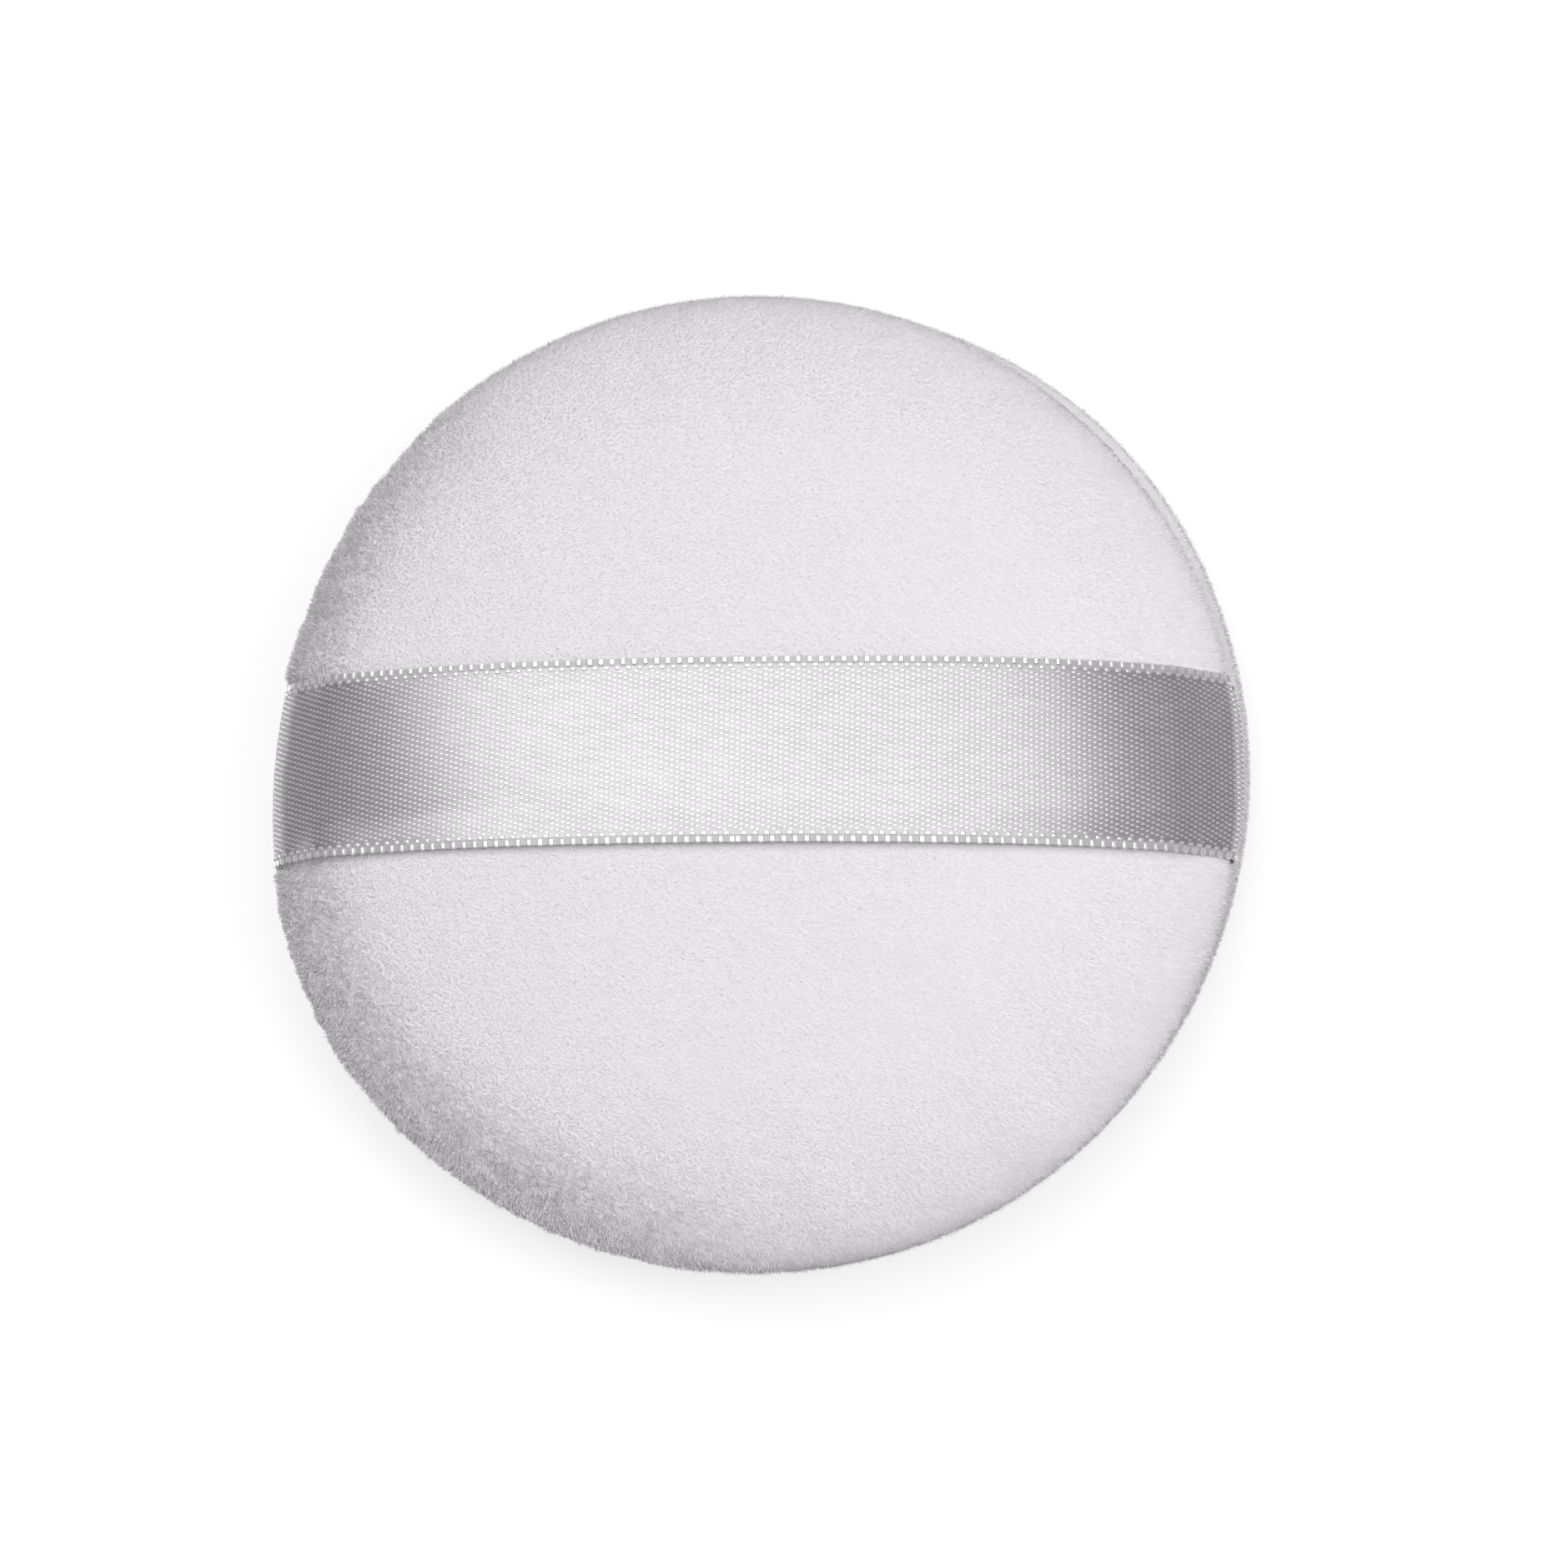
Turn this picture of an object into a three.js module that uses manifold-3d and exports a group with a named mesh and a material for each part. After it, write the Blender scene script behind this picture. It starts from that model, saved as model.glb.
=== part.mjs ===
// Round powder puff: two velour covers sewn edge to edge over a foam core, with a ribbon strap
// across the back for the fingers. Millimetres, +Z up, face side down, ribbon along X.
import * as THREE from 'three'
import * as BufferGeometryUtils from 'three/addons/utils/BufferGeometryUtils.js'
import Module from 'manifold-3d'

const wasm = await Module()
wasm.setup()

// Puff: the seam runs round the middle, with the back cover above it and the face cover below
const seamRadius = 38.9
const backBulge = 0.2 // how far the back cover's widest circle stands out past the seam
const faceBulge = 1.1
const backRise = 9 // seam to the top of the back
const faceDrop = 9 // seam to the lowest point of the face, before it lies flat
const backBulgeRise = 3.2 // seam to the back cover's widest circle
const faceBulgeDrop = 3.4 // seam to the face cover's widest circle
const restFlattening = 0.5 // how far the face is pressed flat where it lies
const crownPower = 2.5 // fullness of the crowns: 2 is an ellipse, more is flatter
const backRadius = seamRadius + backBulge
const faceRadius = seamRadius + faceBulge

// Cloth and seam
const velourThickness = 1.2
const seamGap = 0.3 // between the two turned-in edges
const allowanceDepth = 5 // turned-in edge, from the seam to where the cloth was cut
const clearance = 0.3 // from one piece to the next
const foldRadius = seamRadius - velourThickness // inner side of the fold at the seam
const foldRise = seamGap / 2 + velourThickness
const cutEdgeRadius = seamRadius - allowanceDepth

// Ribbon
const ribbonWidth = 15
const ribbonThickness = 0.3
const ribbonTail = 4 // end of the ribbon caught in the seam
const ribbonSlotRise = ribbonThickness / 2 + clearance

// Machine stitching round the seam, left open where the puff was turned right side out
const seamThreadDiameter = 0.4
const stitchInset = 2.3 // seam to the stitching
const stitchLength = 2.5
const stitchRise = 0.2 // how far the thread lifts off the cloth between stitches
const stitchRadius = seamRadius - stitchInset
const stitchSeat = foldRise + clearance + seamThreadDiameter / 2
const grooveRise = stitchSeat + stitchRise + seamThreadDiameter / 2 + clearance

// Hand stitching that closes the opening
const closingThreadDiameter = 0.4
const closingLength = 24
const closingInset = 1.2 // seam to the middle of the stitches
const closingStitchLength = 4
const closingSwing = 0.4 // how far a stitch swings in and out
const closingTurn = 0.75 * Math.PI // where the opening is, counted from +X
const closingRadius = seamRadius - closingInset
const closingHalfTurn = closingLength / 2 / seamRadius

// Facets
const turnSegments = 48
const crownSteps = 7
const rollSteps = 3
const ribbonRows = 6
const ribbonRimPower = 4 // how late the ribbon starts to follow the rim's curve
const threadSides = 5
const closingStitchSteps = 8
const closingSlotSteps = 6
const overrun = 5 // how far a cut runs past what it cuts

const backVelour = new THREE.MeshStandardMaterial({ color: 0xe7e6ea, roughness: 0.95, metalness: 0 })
const faceVelour = new THREE.MeshStandardMaterial({ color: 0xe9e8ec, roughness: 0.95, metalness: 0 })
const foam = new THREE.MeshStandardMaterial({ color: 0xf1eee4, roughness: 0.9, metalness: 0 })
const satin = new THREE.MeshStandardMaterial({ color: 0xd9d9dc, roughness: 0.35, metalness: 0 })
const thread = new THREE.MeshStandardMaterial({ color: 0xe4e4e6, roughness: 0.6, metalness: 0 })

// A point of a puff's outline: x is the distance from the axis, y the height from the seam
const point = (radius, height) => new THREE.Vector2(radius, height)

// Shares of the crown's radius and rise, at steps from its top or its flat out to the bulge
function crownShares(topShare) {
  return Array.from({ length: crownSteps + 1 }, (_, step) => {
    const riseShare = Math.sin(Math.asin(topShare) * (1 - step / crownSteps))
    return [(1 - riseShare ** 2) ** (1 / crownPower), riseShare]
  })
}

// Outline from the crown's edge to the bulge; a flat top leaves the crown above flatRise away
function crownOutline(radius, rise, bulgeRise, flatRise = rise) {
  const height = rise - bulgeRise
  return crownShares((flatRise - bulgeRise) / height)
    .map(([radiusShare, riseShare]) => point(radius * radiusShare, bulgeRise + height * riseShare))
    .filter((place) => place.x > 0)
}

// Outline from the bulge round to the fold at the seam, without the bulge itself
function rollOutline(radius, bulgeRise, endRadius, endRise) {
  return Array.from({ length: rollSteps }, (_, step) => {
    const turn = ((step + 1) / rollSteps) * (Math.PI / 2)
    const out = endRadius + (radius - endRadius) * Math.cos(turn)
    return point(out, bulgeRise - (bulgeRise - endRise) * Math.sin(turn))
  })
}

// One velour cover: over the crown, round the bulge, in along the seam edge and back inside
function coverOutline(radius, rise, bulgeRise, flatRise) {
  const innerRadius = radius - velourThickness
  const innerRise = rise - velourThickness
  const innerFlat = flatRise - velourThickness
  return [
    point(0, flatRise),
    ...crownOutline(radius, rise, bulgeRise, flatRise),
    ...rollOutline(radius, bulgeRise, seamRadius, seamGap / 2),
    point(cutEdgeRadius, seamGap / 2),
    point(cutEdgeRadius, foldRise),
    ...rollOutline(innerRadius, bulgeRise, foldRadius, foldRise).reverse(),
    ...crownOutline(innerRadius, innerRise, bulgeRise, innerFlat).reverse(),
    point(0, innerFlat)
  ]
}

// One half of the foam, from its crown to the bottom of the groove round its edge
function foamOutline(radius, rise, bulgeRise, flatRise) {
  const inset = velourThickness + clearance
  const lipRise = Math.max(bulgeRise, grooveRise + clearance)
  return [
    point(0, flatRise - inset),
    ...crownOutline(radius - inset, rise - inset, lipRise, flatRise - inset),
    point(foldRadius - clearance, grooveRise),
    point(cutEdgeRadius - clearance, grooveRise)
  ]
}

const belowSeam = (outline) => outline.map((place) => point(place.x, -place.y)).reverse()

// Turned about the puff's axis; the outline runs from the top down, or goes round the cloth
function turned(outline) {
  return new THREE.LatheGeometry([...outline].reverse(), turnSegments).rotateX(Math.PI / 2)
}

function solidOf(geometry) {
  const bare = geometry.clone()
  bare.deleteAttribute('normal')
  bare.deleteAttribute('uv')
  const merged = BufferGeometryUtils.mergeVertices(bare)
  const triVerts = Uint32Array.from(merged.index.array)
  const vertProperties = merged.attributes.position.array
  return new wasm.Manifold(new wasm.Mesh({ numProp: 3, vertProperties, triVerts }))
}

function geometryOf(solid) {
  const { vertProperties, triVerts } = solid.getMesh()
  const geometry = new THREE.BufferGeometry()
  geometry.setAttribute('position', new THREE.BufferAttribute(vertProperties, 3))
  geometry.setIndex(new THREE.BufferAttribute(triVerts, 1))
  geometry.computeVertexNormals()
  return geometry
}

// Room for the ribbon between the seam edges, from one side of the puff to the other
function ribbonSlot() {
  const length = 2 * (faceRadius + overrun)
  return new THREE.BoxGeometry(length, ribbonWidth + 2 * clearance, 2 * ribbonSlotRise)
}

// Room for the closing stitches, just inside the seam
function closingSlot() {
  const room = closingSwing + closingThreadDiameter / 2 + clearance
  const rise = closingThreadDiameter / 2 + clearance
  const halfTurn = closingHalfTurn + clearance / closingRadius
  const start = closingTurn - halfTurn
  const end = closingTurn + halfTurn
  const sector = new THREE.Shape()
  sector.absarc(0, 0, closingRadius + room, start, end, false)
  sector.absarc(0, 0, closingRadius - room, end, start, true)
  const size = { depth: 2 * rise, curveSegments: closingSlotSteps, bevelEnabled: false }
  return new THREE.ExtrudeGeometry(sector, size).translate(0, 0, -rise)
}

function cover(outline) {
  const cuts = solidOf(ribbonSlot()).add(solidOf(closingSlot()))
  return geometryOf(solidOf(turned(outline)).subtract(cuts))
}

// Distance outwards from a crown or a roll, square to its surface
function offset(place, slopeX, slopeY, distance) {
  const length = Math.hypot(slopeX, slopeY)
  return point(place.x + (slopeX / length) * distance, place.y + (slopeY / length) * distance)
}

// Half of the ribbon's side view, at a distance from the back cover, from the seam to the top
function ribbonPath(distance) {
  const height = backRise - backBulgeRise
  const crown = crownOutline(backRadius, backRise, backBulgeRise).map((place) => {
    const slopeX = (crownPower / backRadius) * (place.x / backRadius) ** (crownPower - 1)
    const slopeY = (2 * (place.y - backBulgeRise)) / height ** 2
    return offset(place, slopeX, slopeY, distance)
  })
  const drop = backBulgeRise - seamGap / 2
  const lastTurn = Math.asin((backBulgeRise - ribbonSlotRise) / drop)
  const roll = Array.from({ length: rollSteps }, (_, step) => {
    const turn = ((step + 1) / rollSteps) * lastTurn
    const out = backBulge * Math.cos(turn)
    const down = drop * Math.sin(turn)
    const place = point(seamRadius + out, backBulgeRise - down)
    return offset(place, out / backBulge ** 2, -down / drop ** 2, distance)
  })
  return [...roll.reverse(), ...crown.reverse()]
}

const onLeft = (outline) => outline.map((place) => point(-place.x, place.y))

// Ribbon from seam to seam over the back, its ends caught between the seam edges
function ribbon() {
  const half = ribbonThickness / 2
  const outer = [
    point(seamRadius - ribbonTail, -half),
    point(seamRadius, -half),
    ...ribbonPath(clearance + ribbonThickness)
  ]
  const inner = [
    point(seamRadius - ribbonTail, half),
    point(seamRadius, half),
    ...ribbonPath(clearance)
  ]
  const sideView = new THREE.Shape([
    ...outer,
    point(0, backRise + clearance + ribbonThickness),
    ...onLeft(outer).reverse(),
    ...onLeft(inner),
    point(0, backRise + clearance),
    ...[...inner].reverse()
  ])
  const size = { depth: ribbonWidth, steps: ribbonRows, bevelEnabled: false }
  const straight = new THREE.ExtrudeGeometry(sideView, size)
  return followRim(straight.rotateX(Math.PI / 2).translate(0, ribbonWidth / 2, 0))
}

// Draws the ribbon's edges in where it goes down the side, as the round rim does
function followRim(geometry) {
  const places = geometry.attributes.position
  for (let i = 0; i < places.count; i++) {
    const x = places.getX(i)
    const drawnIn = backRadius - Math.sqrt(backRadius ** 2 - places.getY(i) ** 2)
    const rimShare = (Math.abs(x) / backRadius) ** ribbonRimPower
    places.setX(i, x - Math.sign(x) * drawnIn * rimShare)
  }
  geometry.computeVertexNormals()
  return geometry
}

// A curve that a rule places, from share 0 to share 1 of its length
class RuledCurve extends THREE.Curve {
  constructor(placeAt, steps) {
    super()
    this.placeAt = placeAt
    this.arcLengthDivisions = steps
  }

  getPoint(share) {
    return this.placeAt(share)
  }
}

function threadAlong(placeAt, steps, diameter) {
  const corners = Array.from({ length: threadSides }, (_, side) => {
    const turn = (side / threadSides) * 2 * Math.PI
    return point((diameter / 2) * Math.cos(turn), (diameter / 2) * Math.sin(turn))
  })
  const extrudePath = new RuledCurve(placeAt, steps)
  return new THREE.ExtrudeGeometry(new THREE.Shape(corners), { steps, bevelEnabled: false, extrudePath })
}

const around = (turn, radius, z) => new THREE.Vector3(radius * Math.cos(turn), radius * Math.sin(turn), z)

// One of the seam's two threads, on the cloth above the seam or below it
function seamThread(side) {
  const sweep = 2 * (Math.PI - closingHalfTurn)
  const stitches = Math.round((sweep * stitchRadius) / stitchLength)
  const placeAt = (share) => {
    const lift = (stitchRise / 2) * (1 - Math.cos(share * stitches * 2 * Math.PI))
    const turn = closingTurn + closingHalfTurn + share * sweep
    return around(turn, stitchRadius, side * (stitchSeat + lift))
  }
  return threadAlong(placeAt, 2 * stitches, seamThreadDiameter)
}

function closingThread() {
  const stitches = Math.round(closingLength / closingStitchLength)
  const placeAt = (share) => {
    const swing = closingSwing * Math.sin(share * stitches * 2 * Math.PI)
    return around(closingTurn + (2 * share - 1) * closingHalfTurn, closingRadius + swing, 0)
  }
  return threadAlong(placeAt, stitches * closingStitchSteps, closingThreadDiameter)
}

// The puff, built about its seam and set down on its face
const puff = new THREE.Group()
puff.position.z = faceDrop - restFlattening

function addPiece(name, geometry, material) {
  const piece = new THREE.Mesh(geometry, material)
  piece.name = name
  puff.add(piece)
}

const backOutline = coverOutline(backRadius, backRise, backBulgeRise, backRise)
const faceOutline = coverOutline(faceRadius, faceDrop, faceBulgeDrop, faceDrop - restFlattening)
const foamBack = foamOutline(backRadius, backRise, backBulgeRise, backRise)
const foamFace = foamOutline(faceRadius, faceDrop, faceBulgeDrop, faceDrop - restFlattening)

addPiece('back_cover', cover(backOutline), backVelour)
addPiece('face_cover', cover(belowSeam(faceOutline)), faceVelour)
addPiece('foam_core', turned([...foamBack, ...belowSeam(foamFace)]), foam)
addPiece('ribbon_strap', ribbon(), satin)
addPiece('needle_thread', seamThread(1), thread)
addPiece('bobbin_thread', seamThread(-1), thread)
addPiece('closing_thread', closingThread(), thread)

export default puff
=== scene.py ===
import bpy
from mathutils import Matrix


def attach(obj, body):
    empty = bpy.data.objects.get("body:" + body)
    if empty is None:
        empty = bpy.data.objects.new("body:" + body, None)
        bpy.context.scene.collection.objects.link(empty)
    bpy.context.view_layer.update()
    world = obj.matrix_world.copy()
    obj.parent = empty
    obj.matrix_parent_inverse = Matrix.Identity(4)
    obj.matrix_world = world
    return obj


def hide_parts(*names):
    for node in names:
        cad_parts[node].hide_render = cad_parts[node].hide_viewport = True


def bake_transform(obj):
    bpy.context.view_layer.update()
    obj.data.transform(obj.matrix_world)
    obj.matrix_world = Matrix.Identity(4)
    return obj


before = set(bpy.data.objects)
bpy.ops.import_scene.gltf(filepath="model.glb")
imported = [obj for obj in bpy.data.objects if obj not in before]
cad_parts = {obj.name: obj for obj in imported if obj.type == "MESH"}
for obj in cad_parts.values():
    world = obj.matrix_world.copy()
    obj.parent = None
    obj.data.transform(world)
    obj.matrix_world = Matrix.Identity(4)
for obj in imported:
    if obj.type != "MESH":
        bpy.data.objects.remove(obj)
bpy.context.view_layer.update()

# Round powder puff: velour covers over foam, with a satin ribbon across the back.
# Lengths in the dictionaries are millimetres and turns are degrees, unless a note says otherwise.
import math
import bpy
import numpy as np
from mathutils import Matrix, Vector, noise

mm = 0.001
noise.seed_set(7)  # without it the pile's swirls change with the time of day
scene = bpy.context.scene
scene.view_settings.view_transform = "Standard"


def linear(code):  # an sRGB hex colour as the linear values that sockets hold
    parts = [int(code[i:i + 2], 16) / 255 for i in (1, 3, 5)]
    return [*(c / 12.92 if c <= 0.04045 else ((c + 0.055) / 1.055) ** 2.4 for c in parts), 1]


def setInputs(tree, node, inputs):  # a value that is a node or a socket gets linked
    for name, value in inputs.items():
        if isinstance(value, bpy.types.Node):
            value = value.outputs[0]
        if isinstance(value, bpy.types.NodeSocket):
            tree.links.new(value, node.inputs[name])
        else:
            node.inputs[name].default_value = value


def addNode(tree, kind, settings=None, inputs=None):
    node = tree.nodes.new(kind)
    for name, value in (settings or {}).items():
        setattr(node, name, value)
    setInputs(tree, node, inputs or {})
    return node


# camera, floor and light

cameraSetup = {
    "target": (0, 0, 9),
    "side": 7.5,  # how far the camera stands to +X, seen from the target
    "below": 11.1,  # how far it stands to -Y
    "roll": 1.02,
    "distance": 357.5,
    "pixelsPerMm": 14.954,  # at the target
    "targetPixel": (901.3, 925.5),
    "frame": 1880,
    "sensor": 36,
    "near": 10, "far": 20000,
}


def aimCamera(s):
    back = Vector((math.sin(math.radians(s["side"])), -math.sin(math.radians(s["below"])), 0))
    back.z = math.sqrt(1 - back.length_squared)
    right = Vector((0, 1, 0)).cross(back).normalized()
    up = back.cross(right)
    turn = math.radians(s["roll"])
    right, up = (right * math.cos(turn) + up * math.sin(turn),
                 up * math.cos(turn) - right * math.sin(turn))
    place = Vector(s["target"]) + back * s["distance"]
    middle = s["frame"] / 2  # the lens looks a little past the target, so that it lands on its pixel
    aim = Vector(s["target"]) + right * ((middle - s["targetPixel"][0]) / s["pixelsPerMm"])
    aim += up * ((s["targetPixel"][1] - middle) / s["pixelsPerMm"])
    back = (place - aim).normalized()
    right = up.cross(back).normalized()
    up = back.cross(right)
    data = bpy.data.cameras.new("camera")
    data.sensor_width = s["sensor"]
    data.lens = s["pixelsPerMm"] * s["distance"] * s["sensor"] / s["frame"]
    data.clip_start = s["near"] * mm
    data.clip_end = s["far"] * mm
    camera = bpy.data.objects.new("camera", data)
    camera.matrix_world = Matrix.Translation(place * mm) @ Matrix((right, up, back)).transposed().to_4x4()
    scene.collection.objects.link(camera)
    scene.camera = camera


aimCamera(cameraSetup)

floorSetup = {
    "size": 6000,
    "colour": "#a8a8a8",
    "lift": (0.70, 1.0),  # how much whiter the camera sees it, near the puff and far off
    "near": 200,
    "far": 1200,
}

lightSetup = {
    "ambient": 0.08,
    "ambientColour": "#ffffff",
    "ceiling": 0.15,  # what is mirrored overhead, between the boxes
    "wallTop": (0.0, 0.09),  # sines of the heights at which the white wall turns into the ceiling
    # name: direction from the puff, distance, width, length, turn about the beam, share of the light,
    # and whether glossy surfaces mirror it
    "boxes": {
        "overheadBox": ((-0.075, 0.175, 0.97), 900, 750, 1000, -4, 0.71, True),
        "leftStrip": ((-0.37, 0.21, 0.90), 900, 130, 1000, -4, 0.045, True),
        "sideFill": ((0.60, -0.12, 0.75), 1100, 500, 700, 0, 0.29, False),
    },
}


def floorMaterial(s):  # matt white paper roll
    material = bpy.data.materials.new("whitePaperRoll")
    material.use_nodes = True
    tree = material.node_tree
    tree.nodes.clear()
    seen = addNode(tree, "ShaderNodeLightPath")
    rays = addNode(tree, "ShaderNodeMath", {"operation": "ADD", "use_clamp": True},
                   {0: seen.outputs["Is Camera Ray"], 1: seen.outputs["Is Glossy Ray"]})
    rays = addNode(tree, "ShaderNodeMath", {"operation": "ADD", "use_clamp": True},
                   {0: rays, 1: seen.outputs["Is Transmission Ray"]})
    place = addNode(tree, "ShaderNodeTexCoord")
    away = addNode(tree, "ShaderNodeVectorMath", {"operation": "LENGTH"}, {0: place.outputs["Object"]})
    share = addNode(tree, "ShaderNodeMapRange", {"interpolation_type": "SMOOTHSTEP"}, {
        "Value": away.outputs["Value"], "From Min": s["near"] * mm, "From Max": s["far"] * mm,
        "To Min": s["lift"][0], "To Max": s["lift"][1]})
    lift = addNode(tree, "ShaderNodeMath", {"operation": "MULTIPLY"}, {0: rays, 1: share})
    paper = addNode(tree, "ShaderNodeBsdfDiffuse", inputs={"Color": linear(s["colour"])})
    glow = addNode(tree, "ShaderNodeEmission", inputs={"Strength": lift})
    both = addNode(tree, "ShaderNodeAddShader", inputs={0: paper, 1: glow})
    addNode(tree, "ShaderNodeOutputMaterial", inputs={"Surface": both})
    return material


def makeFloor(s):
    half = s["size"] / 2 * mm
    mesh = bpy.data.meshes.new("floor")
    corners = [(-half, -half, 0), (half, -half, 0), (half, half, 0), (-half, half, 0)]
    mesh.from_pydata(corners, [], [(0, 1, 2, 3)])
    mesh.materials.append(floorMaterial(s))
    floor = bpy.data.objects.new("floor", mesh)
    scene.collection.objects.link(floor)


def makeLights(s):
    world = bpy.data.worlds.new("studio")
    world.use_nodes = True
    scene.world = world
    tree = world.node_tree
    tree.nodes.clear()
    seen = addNode(tree, "ShaderNodeLightPath")
    rays = addNode(tree, "ShaderNodeMath", {"operation": "ADD", "use_clamp": True},
                   {0: seen.outputs["Is Glossy Ray"], 1: seen.outputs["Is Transmission Ray"]})
    place = addNode(tree, "ShaderNodeTexCoord")
    height = addNode(tree, "ShaderNodeSeparateXYZ", inputs={0: place.outputs["Generated"]})
    wall = addNode(tree, "ShaderNodeMapRange", {"interpolation_type": "SMOOTHSTEP"}, {
        "Value": height.outputs["Z"], "From Min": s["wallTop"][0], "From Max": s["wallTop"][1],
        "To Min": 1.0, "To Max": s["ceiling"]})
    level = addNode(tree, "ShaderNodeMapRange", inputs={
        "Value": rays, "To Min": s["ambient"], "To Max": wall})
    level = addNode(tree, "ShaderNodeMapRange", inputs={
        "Value": seen.outputs["Is Camera Ray"], "To Min": level, "To Max": 1.0})
    sky = addNode(tree, "ShaderNodeBackground",
                  inputs={"Color": linear(s["ambientColour"]), "Strength": level})
    addNode(tree, "ShaderNodeOutputWorld", inputs={"Surface": sky})
    for name, (direction, distance, width, length, turn, share, mirrored) in s["boxes"].items():
        data = bpy.data.lights.new(name, "AREA")
        data.shape = "RECTANGLE"
        data.size, data.size_y = width * mm, length * mm
        beam = Vector(direction).normalized()
        data.energy = math.pi ** 2 * (distance * mm) ** 2 * share / beam.z  # lights the top at that share
        lamp = bpy.data.objects.new(name, data)
        lamp.visible_glossy = mirrored
        facing = beam.to_track_quat("Z", "Y").to_matrix() @ Matrix.Rotation(math.radians(turn), 3, "Z")
        lamp.matrix_world = Matrix.Translation(beam * distance * mm) @ facing.to_4x4()
        scene.collection.objects.link(lamp)


makeFloor(floorSetup)
makeLights(lightSetup)
print("stage ready")

# materials


def newMaterial(name):
    material = bpy.data.materials.new(name)
    material.use_nodes = True
    return material, material.node_tree, material.node_tree.nodes["Principled BSDF"]


def velour(name, s):  # cotton velour, its cut pile brushed one way: a soft bloom where it turns away; a random cloudy tone, with painted shade where the tufts dip
    material, tree, shader = newMaterial(name)
    place = addNode(tree, "ShaderNodeTexCoord")
    clouds = addNode(tree, "ShaderNodeTexNoise", inputs={
        "Vector": place.outputs["Object"], "Scale": 1 / (s["cloudSize"] * mm),
        "Detail": 3, "Roughness": 0.6})
    tufts = addNode(tree, "ShaderNodeTexNoise", inputs={
        "Vector": place.outputs["Object"], "Scale": 1 / (s["tuftSize"] * mm),
        "Detail": 4, "Roughness": 0.7})
    # painted shade: the tone follows the tufts' bump, darker in its hollows, mixed with a random cloudy
    # tone
    both = addNode(tree, "ShaderNodeMath", {"operation": "MULTIPLY_ADD"},
                   {0: clouds.outputs["Fac"], 1: s["cloudShare"], 2: tufts.outputs["Fac"]})
    low, high = s["toneRange"]
    tone = addNode(tree, "ShaderNodeMapRange", inputs={
        "Value": both, "From Min": low + s["cloudShare"] * low,
        "From Max": high + s["cloudShare"] * high})
    colour = addNode(tree, "ShaderNodeMix", {"data_type": "RGBA"}, {
        "Factor": tone, 6: linear(s["shade"]), 7: linear(s["light"])})
    bump = addNode(tree, "ShaderNodeBump", inputs={
        "Height": tufts.outputs["Fac"], "Strength": s["bump"], "Distance": s["bumpDepth"] * mm})
    setInputs(tree, shader, {
        "Base Color": colour.outputs["Result"], "Normal": bump, "Roughness": s["roughness"],
        "Specular IOR Level": s["specular"], "Sheen Weight": s["sheen"],
        "Sheen Roughness": s["sheenRoughness"]})
    return material


def pile(name, s):  # single cotton fibres: a shade lighter than the velour's ground, which is painted that much darker as painted shade deep in the pile
    material, tree, shader = newMaterial(name)
    tone = addNode(tree, "ShaderNodeAttribute", {"attribute_name": "tone"})
    colour = addNode(tree, "ShaderNodeMix", {"data_type": "RGBA"}, {
        "Factor": tone.outputs["Fac"], 6: linear(s["shade"]), 7: linear(s["light"])})
    setInputs(tree, shader, {
        "Base Color": colour.outputs["Result"], "Roughness": s["roughness"],
        "Specular IOR Level": s["specular"]})
    return material


def satin(name, s):  # polyester filament satin: long floats that shine across the ribbon
    material, tree, shader = newMaterial(name)
    place = addNode(tree, "ShaderNodeTexCoord")
    stretched = addNode(tree, "ShaderNodeMapping", inputs={
        "Vector": place.outputs["Object"], "Scale": s["stretch"]})
    threads = addNode(tree, "ShaderNodeTexNoise", inputs={
        "Vector": stretched, "Scale": 1 / (s["threadSize"] * mm), "Detail": 2})
    handled = addNode(tree, "ShaderNodeTexNoise", inputs={
        "Vector": place.outputs["Object"], "Scale": 1 / (s["handledSize"] * mm), "Detail": 2})
    low, high = s["toneRange"]
    tone = addNode(tree, "ShaderNodeMapRange", inputs={
        "Value": threads.outputs["Fac"], "From Min": low, "From Max": high})
    colour = addNode(tree, "ShaderNodeMix", {"data_type": "RGBA"}, {
        "Factor": tone, 6: linear(s["shade"]), 7: linear(s["light"])})
    gloss = addNode(tree, "ShaderNodeMapRange", inputs={
        "Value": handled.outputs["Fac"], "To Min": s["roughness"] - s["handledSpread"],
        "To Max": s["roughness"] + s["handledSpread"]})
    setInputs(tree, shader, {
        "Base Color": colour.outputs["Result"], "Roughness": gloss, "IOR": s["ior"],
        "Specular IOR Level": s["specular"], "Metallic": s["metallic"]})
    return material


def plainFibre(name, s):  # foam and thread, seen only where the puff is opened; painted shade darkens the colour in the grain's hollows
    material, tree, shader = newMaterial(name)
    place = addNode(tree, "ShaderNodeTexCoord")
    cells = addNode(tree, "ShaderNodeTexVoronoi", inputs={
        "Vector": place.outputs["Object"], "Scale": 1 / (s["grain"] * mm)})
    # painted shade: the colour follows the bump's height, darker in the cells' hollows
    colour = addNode(tree, "ShaderNodeMix", {"data_type": "RGBA"}, {
        "Factor": cells.outputs["Distance"], 6: linear(s["shade"]), 7: linear(s["light"])})
    bump = addNode(tree, "ShaderNodeBump", inputs={
        "Height": cells.outputs["Distance"], "Strength": s["bump"], "Distance": s["bumpDepth"] * mm})
    setInputs(tree, shader, {
        "Base Color": colour.outputs["Result"], "Normal": bump, "Roughness": s["roughness"]})
    return material


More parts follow.
